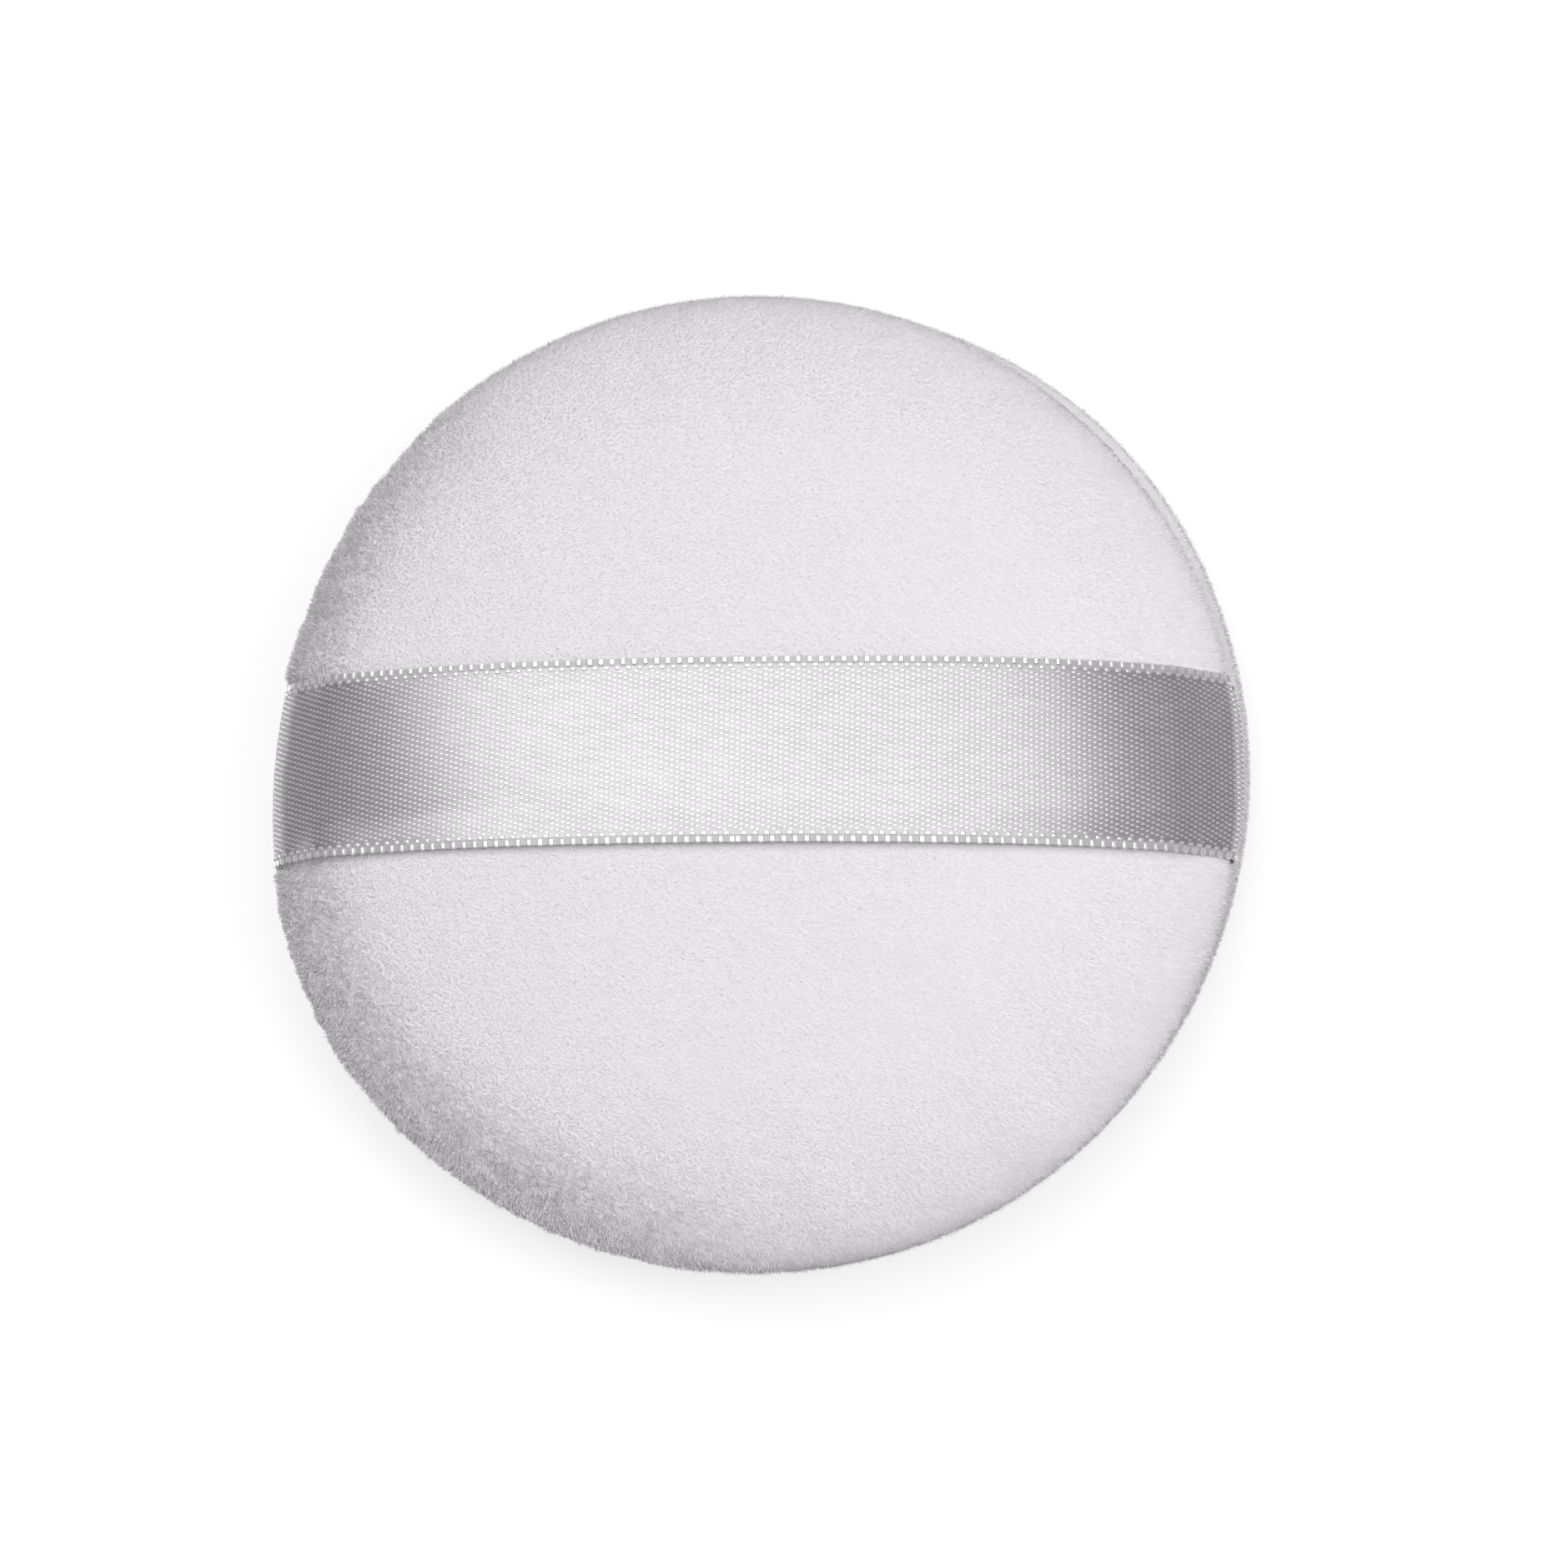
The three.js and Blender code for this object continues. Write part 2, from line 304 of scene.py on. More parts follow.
velourLook = {
    # the ground's tones sit a little below the fibres': painted shade deep in the pile
    "shade": "#f0eef0", "light": "#f3f1f3",
    "toneRange": (0.35, 0.65),  # of the noise, spread from the shade to the light
    "cloudSize": 5, "cloudShare": 0.5,
    "tuftSize": 0.55,  # real pile is finer; as coarse as it needs to show
    "bump": 0.3, "bumpDepth": 0.08,
    "roughness": 0.95, "specular": 0.2,
    "sheen": 0.15, "sheenRoughness": 0.45,
}
backVelour = velour("cottonVelourBack", velourLook)
faceVelour = velour("cottonVelourFace", velourLook)
pileFibre = pile("cottonPileFibre", {
    "shade": "#f4f2f4", "light": "#f6f4f6", "roughness": 0.9, "specular": 0.2})
satinLook = {
    "shade": "#e1dee1", "light": "#e9e6e9",
    "toneRange": (0.3, 0.7),
    "threadSize": 0.3,  # real filaments are finer; as coarse as they need to show
    "stretch": (0.12, 1, 0.3),  # the streaks run along the ribbon
    "handledSize": 7, "handledSpread": 0.03,  # patches dulled or polished by handling
    "roughness": 0.28, "ior": 1.5, "specular": 0.5, "metallic": 0.48,
}
# painted shade: the ground between the floats is painted much darker than they are, for the shade in the
# gaps between them
satinGroundPaintedShade = satin("polyesterSatinGroundPaintedShade", {
    **satinLook, "shade": "#a6a3a6", "light": "#b2afb2", "metallic": 0.5})
selvedgeGroundPaintedShade = satin("polyesterSelvedgeGroundPaintedShade", {  # painted shade: darker and duller under the loops, for the shade they cast
    **satinLook, "shade": "#b2afb2", "light": "#bcb9bc", "metallic": 0.12, "specular": 0.3})
satinFloat = satin("polyesterSatinFloat", satinLook)
satinEdge = satin("polyesterSelvedge", {**satinLook, "shade": "#e6e3e6", "light": "#eeebee"})
foamCells = plainFibre("polyurethaneFoam", {
    "shade": "#d9d3c2", "light": "#f1eee4",
    "grain": 0.8, "bump": 0.6, "bumpDepth": 0.24, "roughness": 0.95})
sewingThread = plainFibre("polyesterSewingThread", {
    "shade": "#cfcfd2", "light": "#ececee",
    "grain": 0.15, "bump": 0.6, "bumpDepth": 0.045, "roughness": 0.5})
print("materials ready")

# shapes of the puff

puffShape = {
    "seamRadius": 38.9,
    "seamHeight": 8.5,
    "seamGap": 0.16,  # from the seam's middle to each cover's fold
    "crownPower": 2.5,  # fullness: 2 is an ellipse, more is flatter
    "clothThickness": 1.2,
    "liningGap": 0.1,  # at the least, from the allowance to the cover's side above it
    "pileDepth": 0.25,  # the fibres stand this far over the ground of the velour
    "cutEdgeRadius": 33.9,
    "edgeMargin": 1,  # the seam draws in what lies further out than this from the cut edge
    "lobes": {2: (-0.15, -0.19), 4: (-0.15, 0.0)},  # out of round by hand sewing: cosine and sine parts
    "roundPower": 3,  # how fast that and the pulls fade towards the middle
    "stitches": 97,
    "pucker": 0.06,
    "puckerReach": 1.3,
    "bellyRise": 0.8,  # the covers' own pulls fade out over this height at the seam
    "crease": 0.32,  # how far the stitching draws the seam in
    "creaseReach": 0.9,
    "turnSegments": 576,
    "skinRings": 104,
    "liningRings": 22,
}
crownSteps = 160  # points along a crown's section
rollSteps = 40  # and round its side

# pulls: turn, reach in degrees, and how far the cover bellies out over the seam there, or hangs back
backShape = {
    "bulge": 0.95, "rise": 9.0, "bulgeRise": 0.8, "flatRise": 9.0, "side": 1,
    "pulls": ((44, 34, -0.75), (155, 30, -0.65), (210, 22, 0.45), (285, 38, 0.6), (335, 12, -0.2),
              (0, 12, -0.6)),
}
faceShape = {
    "bulge": 0.55, "rise": 9.0, "bulgeRise": 3.4, "flatRise": 8.6, "side": -1,
    "pulls": ((44, 50, 0.85), (0, 15, 0.15)),
}


def smoothStep(value, low, high):
    share = np.clip((value - low) / (high - low), 0, 1)
    return share * share * (3 - 2 * share)


def alongLine(line):  # each point's distance from the first, along the line
    return np.concatenate([[0], np.cumsum(np.hypot(*np.diff(line, axis=0).T))])


def resample(line, count):  # a line of points, spaced evenly along its length
    along = alongLine(line)
    even = np.linspace(0, along[-1], count)
    return np.stack([np.interp(even, along, line[:, k]) for k in (0, 1)], 1)


def crownLine(radius, rise, bulgeRise, flatRise, power):  # from the axis out to the widest circle
    top = (flatRise - bulgeRise) / (rise - bulgeRise)
    share = np.sin(np.linspace(math.asin(min(top, 1)), 0, crownSteps))
    out = radius * (1 - share ** 2) ** (1 / power)
    line = np.stack([out, bulgeRise + (rise - bulgeRise) * share], 1)
    return line if out[0] == 0 else np.vstack([[0, flatRise], line])


def rollLine(radius, bulgeRise, endRadius, endRise):  # round the side and in to the seam
    turn = np.linspace(0, math.pi / 2, rollSteps)[1:]
    out = endRadius + (radius - endRadius) * np.cos(turn)
    return np.stack([out, bulgeRise - (bulgeRise - endRise) * np.sin(turn)], 1)


def ease(line, passes):  # evens out what lies between the two ends
    for _ in range(passes):
        line[1:-1] = (line[:-2] + 2 * line[1:-1] + line[2:]) / 4
    return line


def coverLine(s, c):  # one cover in section: over its outside, in along the seam and back inside
    skin, cloth = s["pileDepth"], s["clothThickness"]
    radius = s["seamRadius"] + c["bulge"]
    liningRise = max(c["bulgeRise"], s["seamGap"] + cloth + s["liningGap"])
    power = s["crownPower"]
    outside = np.vstack([
        crownLine(radius - skin, c["rise"] - skin, c["bulgeRise"], c["flatRise"] - skin, power),
        rollLine(radius - skin, c["bulgeRise"], s["seamRadius"] - skin, s["seamGap"]),
    ])
    inside = np.vstack([
        [[s["cutEdgeRadius"], s["seamGap"]], [s["cutEdgeRadius"], s["seamGap"] + cloth]],
        rollLine(radius - cloth, liningRise, s["seamRadius"] - cloth, s["seamGap"] + cloth)[::-1],
        crownLine(radius - cloth, c["rise"] - cloth, liningRise, c["flatRise"] - cloth, power)[::-1],
    ])
    return resample(outside, s["skinRings"]), resample(inside, s["liningRings"])


def outOfRound(s, c, turn, height):  # how far the cover stands out or in, at each turn about the axis
    out = sum(a * np.cos(n * turn) + b * np.sin(n * turn) for n, (a, b) in s["lobes"].items())
    belly = smoothStep(height, s["seamGap"], s["seamGap"] + s["bellyRise"])
    for place, reach, amount in c["pulls"]:
        away = (turn - math.radians(place) + math.pi) % (2 * math.pi) - math.pi
        out = out + belly * amount * np.exp(-(away / math.radians(reach)) ** 2)
    return out


def coverPoints(s, c, line):  # the section turned about the axis, with the seam's crease and puckers
    turn = np.linspace(0, 2 * math.pi, s["turnSegments"], endpoint=False)
    radius, height = line[:, 0][:, None], line[:, 1][:, None]
    share = (radius / s["seamRadius"]) ** s["roundPower"]
    out = radius + share * outOfRound(s, c, turn, height)
    outer = radius > s["cutEdgeRadius"] + s["edgeMargin"]
    near = np.exp(-(height / s["creaseReach"]) ** 2)
    out = out - s["crease"] * near * outer
    near = np.exp(-(height / s["puckerReach"]) ** 2) * outer
    out = out - s["pucker"] * near * (0.5 + 0.5 * np.cos(s["stitches"] * turn))
    up = s["seamHeight"] + c["side"] * height + 0 * turn
    return np.stack([out * np.cos(turn), out * np.sin(turn), up], -1)


def ringQuads(count, around):  # between rings of points
    step = np.arange(around)
    following = (step + 1) % around
    faces = []
    for a in range(0, (count - 1) * around, around):
        b = a + around
        faces += np.stack([a + step, b + step, b + following, a + following], 1).tolist()
    return faces


def poleFans(count, around):  # from the first and last rings to the poles, the two points after them
    step = np.arange(around)
    following = (step + 1) % around
    first, last = count * around, (count - 1) * around
    top = np.stack([np.full(around, first), step, following], 1)
    bottom = np.stack([np.full(around, first + 1), last + following, last + step], 1)
    return top.tolist() + bottom.tolist()


def facing(faces, side):  # turned over on the face's side of the puff and on the ribbon's left half
    return faces if side > 0 else [face[::-1] for face in faces]


def coverMesh(name, s, c, material):
    skin, lining = coverLine(s, c)
    places = coverPoints(s, c, np.vstack([skin[1:], lining[:-1]]))
    count, around = places.shape[:2]
    poles = [[0, 0, s["seamHeight"] + c["side"] * height] for height in (skin[0, 1], lining[-1, 1])]
    points = np.vstack([places.reshape(-1, 3), poles])
    faces = facing(ringQuads(count, around) + poleFans(count, around), c["side"])
    piece = addPiece(name, points, faces, material)
    return piece, alongLine(np.vstack([skin, lining]))[1:-1], len(skin) - 1


def addPiece(name, points, faces, material):
    mesh = bpy.data.meshes.new(name)
    mesh.from_pydata((np.asarray(points) * mm).tolist(), [], faces)
    mesh.materials.append(material)
    mesh.shade_smooth()
    piece = bpy.data.objects.new(name, mesh)
    scene.collection.objects.link(piece)
    return piece


def pointsOf(mesh):  # the mesh's points in millimetres
    flat = np.empty(len(mesh.vertices) * 3)
    mesh.vertices.foreach_get("co", flat)
    return flat.reshape(-1, 3) / mm


def setPoints(mesh, points):
    mesh.vertices.foreach_set("co", (points * mm).ravel())
    mesh.update()


def normalsOf(mesh):
    flat = np.empty(len(mesh.vertices) * 3)
    mesh.vertex_normals.foreach_get("vector", flat)
    return flat.reshape(-1, 3)


def setAttribute(mesh, name, values):
    kind = "FLOAT_VECTOR" if np.ndim(values) == 2 else "FLOAT"
    layer = mesh.attributes.new(name, kind, "POINT")
    flat = np.ascontiguousarray(values, np.float32).ravel()
    layer.data.foreach_set("vector" if kind == "FLOAT_VECTOR" else "value", flat)


def cornersOf(mesh):  # the point at each corner of each face
    corners = np.empty(len(mesh.loops), int)
    mesh.loops.foreach_get("vertex_index", corners)
    return corners


def bakeMap(mesh, places, reach):  # millimetres from the map's middle, for each corner
    layer = mesh.uv_layers.new(name="OFBake")
    layer.data.foreach_set("uv", (0.5 + places / (2 * reach)).astype(np.float32).ravel())


def growMesh(piece, tree, inputs):  # runs the node tree on the piece and keeps the result as a plain mesh
    modifier = piece.modifiers.new(tree.name, "NODES")
    modifier.node_group = tree
    for item in tree.interface.items_tree:
        if item.item_type == "SOCKET" and item.in_out == "INPUT" and item.name in inputs:
            modifier[item.identifier] = inputs[item.name]
    solid = piece.evaluated_get(bpy.context.evaluated_depsgraph_get())
    mesh = bpy.data.meshes.new_from_object(solid)
    piece.modifiers.remove(modifier)
    piece.data = mesh
    return mesh


def newTree(name, sockets):  # a node tree with named inputs: name and kind of each
    tree = bpy.data.node_groups.new(name, "GeometryNodeTree")
    tree.interface.new_socket("Geometry", in_out="INPUT", socket_type="NodeSocketGeometry")
    tree.interface.new_socket("Geometry", in_out="OUTPUT", socket_type="NodeSocketGeometry")
    for label, kind in sockets.items():
        tree.interface.new_socket(label, in_out="INPUT", socket_type="NodeSocket" + kind)
    return tree, addNode(tree, "NodeGroupInput").outputs


# cloth pass: how the filled covers settle

clothPass = {
    "segments": 72,
    "rings": 16,
    "enlarged": 10,  # the copy is run at this many times its size, where Cloth is steady
    "pressure": 4,
    "frames": 20,
    "mass": 0.02,
    "restTop": 0.3,  # up to this height the face is held where it rests
    "cap": 0.3,  # no point moves further than this
    "fade": 3.0,  # from the seam up, because the stitching holds the cloth
    "ribbonHold": (7, 11),  # from the ribbon's middle: held still, and free
    "easePasses": 12,
}


def settleCover(s, c, t):  # Cloth on a coarse copy: its uneven part, along the section and round the axis
    skin = resample(coverLine(s, c)[0], t["rings"] + 1)
    places = coverPoints({**s, "turnSegments": t["segments"], "pucker": 0}, c, skin[1:])
    around, count = t["segments"], t["rings"]
    points = np.vstack([places.reshape(-1, 3), [[0, 0, s["seamHeight"] + c["side"] * skin[0, 1]]]])
    faces = poleFans(count, around)[:around] + ringQuads(count, around)  # open at the seam
    copy = addPiece("settling", points * t["enlarged"], facing(faces, c["side"]), backVelour)
    held = copy.vertex_groups.new(name="seam")
    held.add(list(range((count - 1) * around, count * around)), 1.0, "REPLACE")
    if c["side"] < 0:  # the face is also held where it rests
        held.add(np.nonzero(points[:, 2] < t["restTop"])[0].tolist(), 1.0, "REPLACE")
    cloth = copy.modifiers.new("settle", "CLOTH")
    cloth.settings.vertex_group_mass = "seam"
    cloth.settings.use_pressure = True
    cloth.settings.uniform_pressure_force = t["pressure"]
    cloth.settings.mass = t["mass"]
    cloth.settings.effector_weights.gravity = 0
    cloth.collision_settings.use_collision = False
    cloth.point_cache.frame_end = t["frames"]
    before, normals = pointsOf(copy.data), normalsOf(copy.data)
    for now in range(1, t["frames"] + 1):
        scene.frame_set(now)
    settled = copy.evaluated_get(bpy.context.evaluated_depsgraph_get()).to_mesh()
    moved = ((pointsOf(settled) - before) * normals).sum(1)[:-1].reshape(count, around) / t["enlarged"]
    scene.frame_set(1)
    bpy.data.objects.remove(copy)
    moved = moved - moved.mean(1)[:, None]
    largest = np.abs(moved).max()
    if largest > t["cap"]:
        moved = moved * (t["cap"] / largest)
    print("cloth pass moved up to", round(float(largest), 3), "mm, kept up to", t["cap"])
    return np.vstack([np.zeros(around), moved]), np.linspace(0, 1, count + 1)


def settledAt(settled, places, share, around):  # the same, smoothly between the coarse copy's points
    waves = np.fft.rfft(settled, axis=1)
    fine = np.fft.irfft(waves, n=around, axis=1) * (around / settled.shape[1])
    between = np.stack([np.interp(share, places, column) for column in fine.T], 1)
    return ease(between, clothPass["easePasses"])


# velour covers with their pile

pileSetup = {
    "density": 66,  # fibres to a square millimetre; real velour has hundreds, too fine to show
    "width": 0.065,  # a drawn fibre stands for a tuft of real ones
    "length": 0.62,
    "stray": 0.75,  # how far single fibres leave the nap
    "strayRange": (1, 1, 0.15),  # in X, Y and Z: mostly sideways
    "spin": 0.35,  # radians either way about the fibre, where the pile isn't mussed
    "sizes": (0.6, 1.2),
    "nap": (0.80, -0.25, 0.0),  # the way that the pile was brushed
    "stand": 0.15,  # how upright it stands over the nap
    "swirl": 2.6,  # size of the swirls in the nap
    "bend": 0.6,  # share of its length by which a fibre's tip bends over
    "lowest": 0.02,  # what the puff lies on presses the pile flat at this height
    "seed": 7,
    "spinSeed": 11, "sizeSeed": 5, "toneSeed": 3,
}

# one fibre, as shares of its width, bend and length: narrower and bent over at the tip
fibreCorners = np.array([(-0.5, 0, 0), (0.5, 0, 0), (0.22, 0.25, 1), (-0.22, 0.15, 0.95)])


def fibreBlade(p):
    places = fibreCorners * [p["width"], p["length"] * p["bend"], p["length"]]
    return addPiece("fibreBlade", places, [(0, 1, 2, 3)], pileFibre)


def pileTree(p):
    tree, given = newTree("velourPile", {
        "Density": "Float", "Stray": "Float", "Seed": "Int",
        "Fibre": "Object", "Fibre Material": "Material"})
    kinds = {"pileShare": "FLOAT", "lean": "FLOAT_VECTOR", "fibreLength": "FLOAT", "mussed": "FLOAT",
             "fibreWidth": "FLOAT"}
    cover = {name: addNode(tree, "GeometryNodeInputNamedAttribute", {"data_type": kind}, {"Name": name})
             for name, kind in kinds.items()}
    density = addNode(tree, "ShaderNodeMath", {"operation": "MULTIPLY"},
                      {0: given["Density"], 1: cover["pileShare"]})
    roots = addNode(tree, "GeometryNodeDistributePointsOnFaces", {"distribute_method": "RANDOM"},
                    {"Mesh": given["Geometry"], "Density": density, "Seed": given["Seed"]})
    loose = addNode(tree, "FunctionNodeRandomValue", {"data_type": "FLOAT_VECTOR"},
                    {0: [-part for part in p["strayRange"]], 1: p["strayRange"], "Seed": given["Seed"]})
    loose = addNode(tree, "ShaderNodeVectorMath", {"operation": "SCALE"},
                    {0: loose, "Scale": given["Stray"]})
    way = addNode(tree, "ShaderNodeVectorMath", {"operation": "ADD"}, {0: cover["lean"], 1: loose})
    turned = addNode(tree, "FunctionNodeAlignRotationToVector", {"axis": "Z"}, {"Vector": way})
    turned = addNode(tree, "FunctionNodeAlignRotationToVector", {"axis": "Y", "pivot_axis": "Z"},
                     {"Rotation": turned, "Vector": roots.outputs["Normal"]})
    spin = addNode(tree, "FunctionNodeRandomValue", {"data_type": "FLOAT"},
                   {2: -p["spin"], 3: p["spin"], "Seed": p["spinSeed"]})
    spin = addNode(tree, "ShaderNodeMath", {"operation": "MULTIPLY"},
                   {0: spin.outputs[1], 1: cover["mussed"]})
    spun = addNode(tree, "FunctionNodeAxisAngleToRotation", inputs={"Axis": (0, 0, 1), "Angle": spin})
    turned = addNode(tree, "FunctionNodeRotateRotation", {"rotation_space": "LOCAL"},
                     {"Rotation": turned, "Rotate By": spun})
    size = addNode(tree, "FunctionNodeRandomValue", {"data_type": "FLOAT"},
                   {2: p["sizes"][0], 3: p["sizes"][1], "Seed": p["sizeSeed"]})
    size = addNode(tree, "ShaderNodeMath", {"operation": "MULTIPLY"},
                   {0: size.outputs[1], 1: cover["fibreLength"]})
    size = addNode(tree, "ShaderNodeCombineXYZ", inputs={"X": cover["fibreWidth"], "Y": size, "Z": size})
    shape = addNode(tree, "GeometryNodeObjectInfo", inputs={"Object": given["Fibre"]})
    fibres = addNode(tree, "GeometryNodeInstanceOnPoints", inputs={
        "Points": roots.outputs["Points"], "Instance": shape.outputs["Geometry"],
        "Rotation": turned, "Scale": size})
    tone = addNode(tree, "FunctionNodeRandomValue", {"data_type": "FLOAT"}, {"Seed": p["toneSeed"]})
    fibres = addNode(tree, "GeometryNodeStoreNamedAttribute", {"data_type": "FLOAT", "domain": "INSTANCE"},
                     {"Geometry": fibres, "Name": "tone", "Value": tone.outputs[1]})
    fibres = addNode(tree, "GeometryNodeRealizeInstances", inputs={"Geometry": fibres})
    fibres = addNode(tree, "GeometryNodeSetMaterial",
                     inputs={"Geometry": fibres, "Material": given["Fibre Material"]})
    both = addNode(tree, "GeometryNodeJoinGeometry", inputs={"Geometry": fibres})
    tree.links.new(given["Geometry"], both.inputs["Geometry"])
    addNode(tree, "NodeGroupOutput", inputs={"Geometry": both})
    return tree


def noiseAt(points, size, shift):  # smooth noise, three values to each point
    away = Vector((shift, 0, 0))  # another shift gives another pattern
    return np.array([noise.noise_vector(Vector(point) / size + away) for point in points.tolist()])


ribbonShape = {
    "width": 15,
    "shift": 0.1,  # of the ribbon's middle, towards +Y
    "skew": 0.12,
    "bow": 0.39,  # its ends fall away from +Y by this much
    "bowRadius": 38,
    "gap": 0.12,  # over the velour's nominal surface
    "sinks": (0.55, 0.0),  # how far the left and right ends press into the velour
    "hugs": (0.0, 0.25),  # how much further their edges do
    "curl": 0.25,  # how far the lower edge stands off the velour
    "leftCurl": 0.30,  # how far both edges stand off near the left end
    "leftCurlPlace": -34, "leftCurlReach": 4,
    "curlEnd": (35, 38),  # no edge stands off past these radii
    "edgeShare": 0.55,  # of the half width, from where an edge bends
    "taut": ((35.0, 38.5), (35.0, 40.5)),  # left and right: pulled straight between these radii
    "turnDown": (0.5, 1.9),  # left and right: how high over the seam the end hangs straight down
    "turnIn": ((0.15, 0.24), (-0.35, 0.05), (-0.8, 0.0)),  # past the seam's radius, and over its height
    "fallEnd": (30, 37.5),  # up to these radii the ribbon follows the back across its width too
    "rimPower": 4,  # how fast what happens at the rim fades towards the middle
    "thickness": 0.16,
    "tail": 4,
    "crownPoints": 400, "linePoints": 900,
    "easePasses": 60,
    "groundInset": 0.1,  # the woven ground ends this far inside the loops
    "groundSteps": 110, "groundRows": 24,
}


def ribbonMiddle(x):  # the y of the ribbon's middle line
    r = ribbonShape
    return r["shift"] + math.tan(math.radians(r["skew"])) * x - r["bow"] * (x / r["bowRadius"]) ** 2


def settledAmount(points, s, c, skinLengths):  # how far the cloth pass moves each point outwards
    settled, places = settleCover(s, c, clothPass)
    skin = settledAt(settled, places, skinLengths / skinLengths[-1], s["turnSegments"]).ravel()
    amount = np.zeros(len(points))
    amount[:len(skin)] = skin
    amount *= smoothStep(np.abs(points[:, 2] - s["seamHeight"]), 0, clothPass["fade"])
    if c["side"] > 0:  # the ribbon holds the cloth down
        amount *= smoothStep(np.abs(points[:, 1] - ribbonMiddle(points[:, 0])), *clothPass["ribbonHold"])
    return amount


pileLay = {
    "pressed": (-0.3, 0.25),  # by the ribbon, to free, from the ribbon's edge outwards
    "hidden": (0.75, 0.25),  # share of the fibres left out under the ribbon, and what its ends add
    "hiddenRadius": (22, 27),
    "restTop": 0.9, "restFade": 0.6,  # pressed flat below this height, where the face rests
    "rim": (24, 38),
    "seamReach": 0.7, "seamThinner": 0.8, "seamShorter": 0.45,
    "pressedShorter": 0.3,
    # brushed up on one side by handling: radii, and distances towards -X with some -Y
    "ruffledRadius": (30, 38.5), "ruffledSide": (2, 30), "ruffledSlope": 0.35,
    # usual value, and what the ruffling adds
    "hollows": (0.04, 0.17), "swirls": (0.03, 0.35), "curls": (0, 0.7),
    "share": (0.85, 0.9), "width": (1, 0.4),
    "length": 0.48, "ruffledLength": 0.2, "curledLength": 0.4,
    "mussed": 0.25, "rimMussed": 0.2, "ruffledMussed": 5.5,  # times the spin
    "rimStand": 0.3, "ruffledStand": 0.3, "pressedStand": 0.04, "restStand": 0.05,
    "restSmoother": 0.9,
    # the ground dips beside the ribbon, and more at its left end
    "dip": 0.10, "dipGap": 0.15, "dipReach": 0.4,
    "endDip": 0.35, "endPlace": -36.5, "endReach": 3,
    # sizes of the patterns, and their places in the noise
    "hollowSize": 1.1, "curlSize": 0.45,
    "hollowShift": 9.7, "curlShift": 21.3, "swirlShift": 3.1,
}


def dressCover(mesh, s, c, p, lay, skinLengths):  # settles the cover and says how its pile lies
    points, normals = pointsOf(mesh), normalsOf(mesh)
    points = points + normals * settledAmount(points, s, c, skinLengths)[:, None]
    onSkin = np.zeros(len(points))
    onSkin[:len(skinLengths) * s["turnSegments"]] = 1
    onSkin[-2] = 1  # its pole
    x, y, z = points.T
    radius = np.hypot(x, y)
    seamNear = np.exp(-((z - s["seamHeight"]) / lay["seamReach"]) ** 2)
    pressed = np.zeros(len(points))
    flat = np.zeros(len(points))
    if c["side"] > 0:  # the ribbon lies on the back and keeps its pile down
        away = np.abs(y - ribbonMiddle(x)) - ribbonShape["width"] / 2
        pressed = 1 - smoothStep(away, *lay["pressed"])
    else:
        flat = smoothStep(lay["restTop"] - z, 0, lay["restFade"])
    rim = smoothStep(radius, *lay["rim"])
    ruffled = smoothStep(radius, *lay["ruffledRadius"])
    ruffled = ruffled * smoothStep(-x - lay["ruffledSlope"] * y, *lay["ruffledSide"])

    def withRuffling(name):
        return lay[name][0] + lay[name][1] * ruffled

    swirl = noiseAt(points, p["swirl"], lay["swirlShift"] * c["side"])
    hollow = noiseAt(points, lay["hollowSize"], lay["hollowShift"])[:, 0]
    curls = noiseAt(points, lay["curlSize"], lay["curlShift"])
    smooth = (1 - pressed) * (1 - lay["restSmoother"] * flat)
    ground = withRuffling("hollows") * hollow * onSkin * smooth
    if c["side"] > 0:
        beside = np.exp(-((away - lay["dipGap"]) / lay["dipReach"]) ** 2) * onSkin
        atEnd = np.exp(-((x - lay["endPlace"]) / lay["endReach"]) ** 2)
        ground -= beside * (lay["dip"] + lay["endDip"] * atEnd)
    setPoints(mesh, points + normals * ground[:, None])
    nap = np.array(p["nap"])
    nap = nap - normals * (normals @ nap)[:, None]
    stand = p["stand"] + lay["rimStand"] * rim + lay["ruffledStand"] * ruffled
    lean = nap + normals * stand[:, None] + swirl * withRuffling("swirls")[:, None]
    lean = lean + curls * withRuffling("curls")[:, None]
    for held, up in ((pressed, lay["pressedStand"]), (flat, lay["restStand"])):
        lean = lean * (1 - held)[:, None] + (nap + up * normals) * held[:, None]
    setAttribute(mesh, "lean", lean / np.linalg.norm(lean, axis=1)[:, None])
    hidden = lay["hidden"][0] + lay["hidden"][1] * smoothStep(radius, *lay["hiddenRadius"])
    share = onSkin * (1 - hidden * pressed) * (1 - lay["seamThinner"] * seamNear)
    setAttribute(mesh, "pileShare", share * withRuffling("share"))
    length = (1 - lay["seamShorter"] * seamNear) * (1 - lay["pressedShorter"] * pressed)
    more = lay["ruffledLength"] + lay["curledLength"] * curls[:, 1]
    setAttribute(mesh, "fibreLength", length * (lay["length"] + more * ruffled))
    setAttribute(mesh, "fibreWidth", withRuffling("width"))
    mussed = lay["mussed"] + lay["rimMussed"] * rim + lay["ruffledMussed"] * ruffled
    setAttribute(mesh, "mussed", mussed)


liningShare = 0.15  # of its real reach on the bake's map
mapMargin = 1


def unrollCover(mesh, s, lengths, skinRings):  # each point's place on the cover unrolled from its pole
    turn = np.linspace(0, 2 * math.pi, s["turnSegments"], endpoint=False)
    seam = lengths[skinRings - 1]
    out = np.where(lengths > seam, seam + liningShare * (lengths - seam), lengths)[:, None]
    flat = np.stack([out * np.cos(turn), out * np.sin(turn), 0 * out * turn], -1)
    setAttribute(mesh, "unrolled", np.vstack([flat.reshape(-1, 3), np.zeros((2, 3))]))
    return float(out[-1, 0]) + mapMargin


